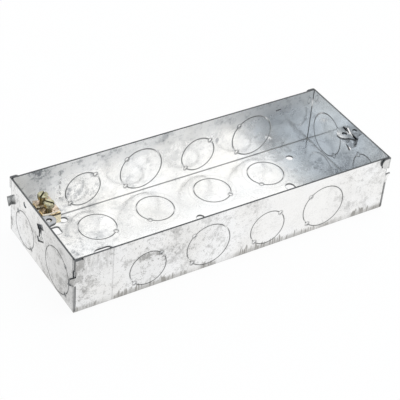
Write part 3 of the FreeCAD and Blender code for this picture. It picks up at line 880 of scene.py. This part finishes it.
@dataclass(frozen=True)
class GalvanisedSheet:
    """Bright hot-dipped sheet: mottled zinc, sheared edges, painted shade in rings round each disc.
    """

    sheet: FoldedSheet = FoldedSheet()
    shearing: Shearing = Shearing()
    punching: Punching = Punching()
    folding: Folding = Folding()
    mottle: Mottle = Mottle()
    scuffing: Scuffing = Scuffing()
    tint: Layer = Layer(38.0, 2.0, (0.42, 0.6))
    bright: Colour = (0.96, 0.963, 0.966)
    warm: Colour = (0.93, 0.92, 0.90)
    warm_share: float = 0.6
    cloudy: Colour = (0.37, 0.385, 0.405)
    grime_and_shade: Colour = (0.40, 0.392, 0.375)
    grime_and_shade_share: float = 0.8
    # For the folder's scuffs, and the painted shade at the foot of the walls.
    scuff_and_shade: Colour = (0.23, 0.22, 0.20)
    # Dark grey for the painted shade along the slits, pits, dent and outer hem, and for the scribe
    # marks.
    ring: Colour = (0.20, 0.20, 0.20)
    ring_shares: Span = (0.6, 0.1)
    sheared: Colour = (0.12, 0.125, 0.13)
    spared_shares: Span = (0.3, 0.35)
    # Painted shade in the inner folds, corners, tab roots, seams and slot rims.
    crease_shade: Colour = (0.035, 0.036, 0.038)
    skin_mm: float = 0.2
    roughness: float = 0.15
    dull_roughness: float = 0.24
    edge_roughness: float = 0.3
    ring_roughness: float = 0.2
    end_gloss: float = 0.4
    waves_mm: float = 11.0
    wave_height: float = 0.5
    ripples_mm: float = 2.6
    ripple_height: float = 0.14
    ring_depth: float = 0.4
    hollow_depth: float = 0.5
    bump_strength: float = 0.3
    bump_height: float = 0.0006

    def build(self) -> bpy.types.Material:
        """Make the material.

        Returns:
            The material.
        """
        graph = Graph(bpy.data.materials.new("galvanised_sheet"))
        spot = graph.surface()
        zones = self.sheet.zones(spot)
        cut = self.shearing.mask(spot, zones)
        rings, hollows = self.punching.masks(spot, zones)
        crease_shade_mask = self.folding.dark(spot)
        shade, dull = self.mottle.masks(spot, zones)
        outside = abs(spot.y) > self.sheet.half_width_mm - self.skin_mm
        outside = outside | (abs(spot.x) > self.sheet.half_length_mm - self.skin_mm)

        # The dark end of the zinc's tone, which also takes the painted shade; greyer and warmer
        # outside.
        darkening = graph.mix(outside * self.grime_and_shade_share, self.cloudy, self.grime_and_shade)
        zinc = graph.mix(self.tint.mask(spot) * self.warm_share, self.bright, self.warm)
        tone = graph.mix(self.scuffing.combs(spot), graph.mix(shade, zinc, darkening), self.scuff_and_shade)
        # Painted shade along the slits, pits, dent and outer hem, plus the scribed line and dashes,
        # which are marks on the sheet.
        shade_and_scribing = rings * (self.ring_shares[0] - outside * self.ring_shares[1])
        shade_and_scribing = shade_and_scribing | self.folding.grey(spot) | self.scuffing.strokes(spot, zones)
        tone = graph.mix(shade_and_scribing, tone, self.ring)
        spared = rings * (outside * self.spared_shares[1] + self.spared_shares[0])
        tone = graph.mix(cut * (1 - spared), tone, self.sheared)
        # Painted shade along the folds, seams and slot rims.
        tone = graph.mix(crease_shade_mask, tone, self.crease_shade)

        gloss = 1 - zones[Zone.RIGHT_INSIDE] * self.end_gloss
        rough = (dull * self.dull_roughness + self.roughness) * gloss
        rough = rough + (cut | crease_shade_mask) * self.edge_roughness + rings * self.ring_roughness
        waves = graph.noise(spot.place, self.waves_mm)
        ripples = graph.noise(spot.place, self.ripples_mm)
        relief = waves * self.wave_height + ripples * self.ripple_height
        relief = relief - rings * self.ring_depth - hollows * self.hollow_depth
        return graph.finish(
            Base_Color=tone,
            Metallic=1.0,
            Roughness=rough,
            Normal=graph.bump(relief, self.bump_strength, self.bump_height),
        )


@dataclass(frozen=True)
class PlatedSteel:
    """Zinc plate on pressed steel: a tapped hole with painted shade inside and a painted highlight
    round it, and painted shade at the root and on the plate's side faces.
    """

    name: str
    bright: Colour = (0.74, 0.75, 0.76)
    dull: Colour = (0.34, 0.35, 0.37)
    dark: Colour = (0.06, 0.06, 0.062)
    # Light colour of the painted highlight round the tapped hole.
    ring: Colour = (0.93, 0.935, 0.94)
    ring_glow: float = 0.0
    blots: Layer = Layer(2.4, 5.0, (0.44, 0.6), 0.7)
    blot_share: float = 0.6
    grain_mm: float = 0.5
    grain_stretch: Triple = (1.0, 0.15, 1.0)
    grain_height: float = 0.3
    roughness: float = 0.22
    blot_roughness: float = 0.14
    hole_mm: Span | None = None
    bore: Line = Line(1.56, 1.5, 0.85)
    hole_highlight: Line = Line(2.05, 1.8)
    root: Line = Line(93.15, 93.5)
    plate_mm: float = 27.4
    plate_edge: Line = Line(0.75, 0.45, 0.75)
    bump_strength: float = 0.5
    bump_height: float = 0.00015

    def build(self) -> bpy.types.Material:
        """Make the material.

        Returns:
            The material.
        """
        graph = Graph(bpy.data.materials.new(self.name))
        spot = graph.surface()
        upward = spot.facing[2]
        blots = self.blots.mask(spot)
        brushed = graph.scaled(spot.place, self.grain_stretch)
        grain = graph.noise(brushed, self.grain_mm, FEW_LAYERS)
        tone = graph.mix(blots * self.blot_share, self.bright, self.dull)
        height = grain * self.grain_height
        if self.hole_mm is not None:
            reach = far(spot.x, spot.y, self.hole_mm)
            # Painted shade inside the tapped hole.
            bore = reach.rise(self.bore.start, self.bore.full)
            # Painted highlight round the tapped hole, as strong as ring_glow.
            hole_highlight = self.hole_highlight.at(reach) * (1 - bore)
            tone = graph.mix(hole_highlight * self.ring_glow, tone, self.ring)
            # Painted shade along the root by the wall and on the plate's side faces.
            rim = (upward > FACING) * self.root.at(abs(spot.x))
            edge = self.plate_edge.at(upward) * (spot.z > self.plate_mm)
            tone = graph.mix(bore * self.bore.share | rim | edge, tone, self.dark)
            height = height + bore * thread(spot.z)
        return graph.finish(
            Base_Color=tone,
            Metallic=1.0,
            Roughness=blots * self.blot_roughness + self.roughness,
            Normal=graph.bump(height, self.bump_strength, self.bump_height),
        )


@dataclass(frozen=True)
class Screw:
    """A screw's axis, slot, shank and head, and the painted shade on its metal."""

    axis_mm: Span
    slot_deg: float
    shank_mm: float = 1.75
    head_mm: Span = (27.9, 30.4)
    slot_mm: float = 0.9
    skin_mm: Span = (0.1, 0.05)
    shank_shares: Span = (0.9, 0.4)
    slot_fade_mm: float = 0.12
    slot_floor_mm: float = 0.2
    slot_share: float = 0.85
    rim_mm: float = 0.9
    rim: Line = Line(2.2, 2.6, 0.6)

    def marks(self, spot: Surface) -> tuple[Number, Number]:
        """Painted shade in the slot, on the shank and its thread roots, and round the foot of the
        head.

        Args:
            spot: The shaded point.

        Returns:
            A mask of the painted shade, and the thread's relief.
        """
        x, y, z = spot.x, spot.y, spot.z
        reach = far(x, y, self.axis_mm)
        low_mm, top_mm = self.head_mm
        skin = [self.shank_mm + skin_mm for skin_mm in self.skin_mm]
        shank = reach.rise(*skin) * (z < low_mm)
        wave = thread(z) * 0.5 + 0.5
        dark = shank * (self.shank_shares[0] - wave * self.shank_shares[1])
        turn = math.radians(self.slot_deg)
        aside = (y - self.axis_mm[1]) * math.cos(turn) - (x - self.axis_mm[0]) * math.sin(turn)
        half_mm = self.slot_mm / 2
        slot = abs(aside).rise(half_mm + self.slot_fade_mm, half_mm)
        slot = slot * (z > low_mm + self.slot_floor_mm) * self.slot_share
        rim = z.within(low_mm, top_mm - self.rim_mm) * z.rise(low_mm + self.rim_mm, low_mm)
        return dark | slot | rim * self.rim.at(reach), shank * wave


@dataclass(frozen=True)
class Brass:
    """Pressed or turned brass: tarnished in blots, with painted light on its side faces."""

    name: str
    bright: Colour
    tarnish: Colour
    edge: Colour
    side_shading_share: float = 0.7
    crevice_shade: Colour = (0.03, 0.024, 0.015)
    blots: Layer = Layer(2.2, 5.0, (0.44, 0.62), 0.7)
    blot_share: float = 0.65
    specks: Layer = Layer(0.5, 2.0, (0.6, 0.75))
    speck_share: float = 0.25
    speck_wear: float = 0.5
    side_shading: Line = Line(0.6, 0.3)
    grain_mm: float = 0.7
    grain_height: float = 0.35
    roughness: float = 0.24
    blot_roughness: float = 0.15
    screw: Screw | None = None
    gap_mm: Span | None = None
    gap_reach_mm: float = 1.2
    gap_fade_mm: Span = (-0.1, 0.2)
    gap_share: float = 0.9
    bump_strength: float = 0.6
    bump_height: float = 0.00015

    def build(self) -> bpy.types.Material:
        """Make the material.

        Returns:
            The material.
        """
        graph = Graph(bpy.data.materials.new(self.name))
        spot = graph.surface()
        blots, specks = self.blots.mask(spot), self.specks.mask(spot)
        darkening = blots * self.blot_share + specks * self.speck_share
        tone = graph.mix(darkening, self.bright, self.tarnish)
        # Painted light on the side faces in the edge colour: a highlight on the bracket and
        # saddles, shade on the screw heads.
        side_shading = self.side_shading.at(spot.facing[2]) * self.side_shading_share * (1 - specks * self.speck_wear)
        tone = graph.mix(side_shading, tone, self.edge)
        height = graph.noise(spot.place, self.grain_mm, FEW_LAYERS) * self.grain_height
        if self.gap_mm is not None:
            # Painted shade in the bracket's crevice.
            tone = graph.mix(self._gap(spot, *self.gap_mm), tone, self.crevice_shade)
        if self.screw is not None:
            dark, ridges = self.screw.marks(spot)
            # Painted shade in the slot, on the shank and under the head.
            tone = graph.mix(dark, tone, self.crevice_shade)
            height = height + ridges
        return graph.finish(
            Base_Color=tone,
            Metallic=1.0,
            Roughness=blots * self.blot_roughness + self.roughness,
            Normal=graph.bump(height, self.bump_strength, self.bump_height),
        )

    def _gap(self, spot: Surface, left_mm: float, level_mm: float) -> Number:
        """Painted shade in the crevice of the front faces: a level part and an upright one left of
        it.

        Args:
            spot: The shaded point.
            left_mm: The upright part's place along the length.
            level_mm: The level part's height.

        Returns:
            A mask of the crevice.
        """
        level = spot.z.rise(*(level_mm + fade_mm for fade_mm in self.gap_fade_mm))
        upright = spot.x.rise(left_mm, left_mm - self.gap_reach_mm)
        gap = (spot.z < level_mm + self.gap_reach_mm) * (level | upright)
        return gap * (spot.facing[1] < -FACING) * self.gap_share


# Object

@dataclass
class BackBox:
    """The folded box itself."""

    node: str = "box_shell"
    finish: GalvanisedSheet = GalvanisedSheet()

    def dress(self) -> None:
        """Give the sheet its finish."""
        put_finish(self.node, self.finish.build())


@dataclass
class Lugs:
    """The two faceplate lugs and the stud that holds the adjustable one."""

    left_hole_mm: Span = (-90.45, 0.2)
    left_plate_mm: float = 30.2
    right_hole_mm: Span = (90.45, -0.9)

    def dress(self) -> None:
        """Give the lugs and the stud their finishes."""
        # The fixed lug takes a darker copy of the plating than the adjustable one: painted shade.
        left = PlatedSteel(
            "left_lug_plate", bright=(0.42, 0.43, 0.45), dull=(0.2, 0.21, 0.22),
            hole_mm=self.left_hole_mm, plate_mm=self.left_plate_mm,
        )
        right = PlatedSteel("right_lug_plate", hole_mm=self.right_hole_mm, ring_glow=0.75)
        put_finish("fixed_lug", left.build())
        put_finish("adjustable_lug", right.build())
        put_finish("lug_stud", PlatedSteel("stud_plate", dull=(0.3, 0.31, 0.33)).build())


@dataclass
class EarthTerminal:
    """The brass terminal: bracket, saddles and slotted screws."""

    across_mm: float = -83.3
    along_mm: Span = (14.8, 22.0)
    slots_deg: Span = (-50.0, 41.0)
    gap_mm: Span = (-86.5, 22.9)

    def dress(self) -> None:
        """Give each brass piece its finish."""
        # The bracket's and saddles' light edge colours are painted highlights on their side faces.
        bracket = Brass(
            "bracket_brass", bright=(0.86, 0.72, 0.48), tarnish=(0.33, 0.25, 0.15),
            edge=(0.97, 0.88, 0.66), side_shading_share=0.85, gap_mm=self.gap_mm,
        )
        put_finish("earth_bracket", bracket.build())
        saddle = Brass(
            "saddle_brass", bright=(0.93, 0.76, 0.60), tarnish=(0.20, 0.13, 0.08),
            edge=(1.0, 0.93, 0.80), side_shading_share=0.95,
        ).build()
        for name, along, turn in zip(("front", "rear"), self.along_mm, self.slots_deg):
            put_finish(f"{name}_saddle", saddle)
            # The screws' darker edge colour is painted shade on their sides.
            finish = Brass(
                f"{name}_screw_brass", bright=(0.56, 0.54, 0.38), tarnish=(0.17, 0.155, 0.09),
                edge=(0.42, 0.38, 0.26), crevice_shade=(0.075, 0.065, 0.03),
                screw=Screw((self.across_mm, along), turn),
            )
            put_finish(f"{name}_terminal_screw", finish.build())


def put_finish(node: str, material: bpy.types.Material) -> None:
    """Give a node of the frame one material in every slot.

    Args:
        node: The node's name.
        material: The material.
    """
    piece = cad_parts[node]
    if not piece.material_slots:
        piece.data.materials.append(material)
    for slot in piece.material_slots:
        slot.link = "OBJECT"
        slot.material = material
    LOG.info("%s is dressed in %s", node, material.name)


# Studio

@dataclass
class Viewpoint:
    """The photograph's camera."""

    place_mm: Triple = (-328.233, -477.038, 473.238)
    azimuth_deg: float = 34.415
    elevation_deg: float = 38.487
    roll_deg: float = 5.329
    lens_mm: float = 124.871
    sensor_mm: float = 36.0
    clip: Span = (0.05, 20.0)

    def set_up(self) -> None:
        """Make the camera and look through it."""
        data = bpy.data.cameras.new("viewpoint")
        data.lens = self.lens_mm
        data.sensor_width = self.sensor_mm
        data.clip_start, data.clip_end = self.clip
        camera = bpy.data.objects.new("viewpoint", data)
        bpy.context.scene.collection.objects.link(camera)
        azimuth, elevation, roll = (
            math.radians(angle)
            for angle in (self.azimuth_deg, self.elevation_deg, self.roll_deg)
        )
        ahead = Vector((
            math.sin(azimuth) * math.cos(elevation),
            math.cos(azimuth) * math.cos(elevation),
            -math.sin(elevation),
        ))
        level = ahead.cross(Vector((0.0, 0.0, 1.0))).normalized()
        right = math.cos(roll) * level + math.sin(roll) * level.cross(ahead)
        turn = Matrix((right, right.cross(ahead), -ahead)).transposed()
        camera.matrix_world = Matrix.Translation(Vector(self.place_mm) * MM) @ turn.to_4x4()
        bpy.context.scene.camera = camera


@dataclass(frozen=True)
class SoftBox:
    """One large soft lamp aimed at the middle of the box."""

    name: str
    bearing: Triple
    distance: float
    size: float
    power: float

    def set_up(self) -> None:
        """Make the lamp."""
        data = bpy.data.lights.new(self.name, "AREA")
        data.shape = "SQUARE"
        data.size = self.size
        data.energy = self.power
        lamp = bpy.data.objects.new(self.name, data)
        bpy.context.scene.collection.objects.link(lamp)
        aim = Vector(self.bearing).normalized()
        lamp.location = aim * self.distance
        lamp.rotation_mode = "QUATERNION"
        lamp.rotation_quaternion = aim.to_track_quat("Z", "Y")


@dataclass
class Studio:
    """A plain pale floor in a soft surround, lightest on the right, and a soft lamp."""

    light_side: Colour = (1.23, 1.23, 1.22)
    light_fade: Span = (-0.25, 0.3)
    near_shade: Colour = (0.81, 0.885, 0.95)
    far_shade: Colour = (0.52, 0.56, 0.59)
    shade_fade: Span = (0.35, -0.35)
    floor_colour: Colour = (0.96, 0.96, 0.96)
    floor_glow: float = 0.93
    floor_half: float = 6.0
    floor_height: float = -0.0001
    lamp: SoftBox = SoftBox("top_lamp", (0.1, -0.15, 1.0), 1.7, 1.5, 1.6)

    def set_up(self) -> None:
        """Make the world, the lamp and the floor."""
        scene = bpy.context.scene
        scene.view_settings.view_transform = "Standard"
        self._surround(scene)
        self.lamp.set_up()
        self._floor()

    def _surround(self, scene: bpy.types.Scene) -> None:
        """A soft surround that the camera sees as white.

        Args:
            scene: The scene.
        """
        world = bpy.data.worlds.new("surround")
        scene.world = world
        graph = Graph(world)
        path = graph.node("ShaderNodeLightPath")
        ahead, aside, _ = graph.parts(graph.node("ShaderNodeTexCoord").outputs["Generated"])
        shade = graph.mix(aside.rise(*self.shade_fade), self.far_shade, self.near_shade)
        glow = graph.mix(ahead.rise(*self.light_fade), shade, self.light_side)
        soft = graph.node("ShaderNodeBackground", inputs={"Color": glow})
        white = graph.node("ShaderNodeBackground", inputs={"Color": WHITE})
        seen = path.outputs["Is Camera Ray"]
        mixed = graph.node(
            "ShaderNodeMixShader", inputs={0: seen, 1: soft.outputs[0], 2: white.outputs[0]}
        )
        graph.node("ShaderNodeOutputWorld", inputs={"Surface": mixed.outputs[0]})

    def _floor(self) -> None:
        """A wide white floor that keeps a faint shadow."""
        half = self.floor_half
        mesh = bpy.data.meshes.new("floor")
        corners = [(-half, -half), (half, -half), (half, half), (-half, half)]
        mesh.from_pydata([(x, y, self.floor_height) for x, y in corners], [], [(0, 1, 2, 3)])
        floor = bpy.data.objects.new("floor", mesh)
        bpy.context.scene.collection.objects.link(floor)
        graph = Graph(bpy.data.materials.new("white_floor"))
        path = graph.node("ShaderNodeLightPath")
        seen = Number(graph, path.outputs["Is Camera Ray"])
        seen = seen | Number(graph, path.outputs["Is Glossy Ray"])
        matt = graph.node("ShaderNodeBsdfDiffuse", inputs={"Color": self.floor_colour})
        white = graph.node("ShaderNodeEmission", inputs={"Color": WHITE, "Strength": 1.0})
        mixed = graph.node(
            "ShaderNodeMixShader",
            inputs={0: seen * self.floor_glow, 1: matt.outputs[0], 2: white.outputs[0]},
        )
        graph.node("ShaderNodeOutputMaterial", inputs={"Surface": mixed.outputs[0]})
        mesh.materials.append(graph.owner)


def main() -> None:
    """Set up the studio and dress the back box."""
    logging.basicConfig(level=logging.INFO)
    Viewpoint().set_up()
    Studio().set_up()
    BackBox().dress()
    Lugs().dress()
    EarthTerminal().dress()


if __name__ == "__main__":
    main()
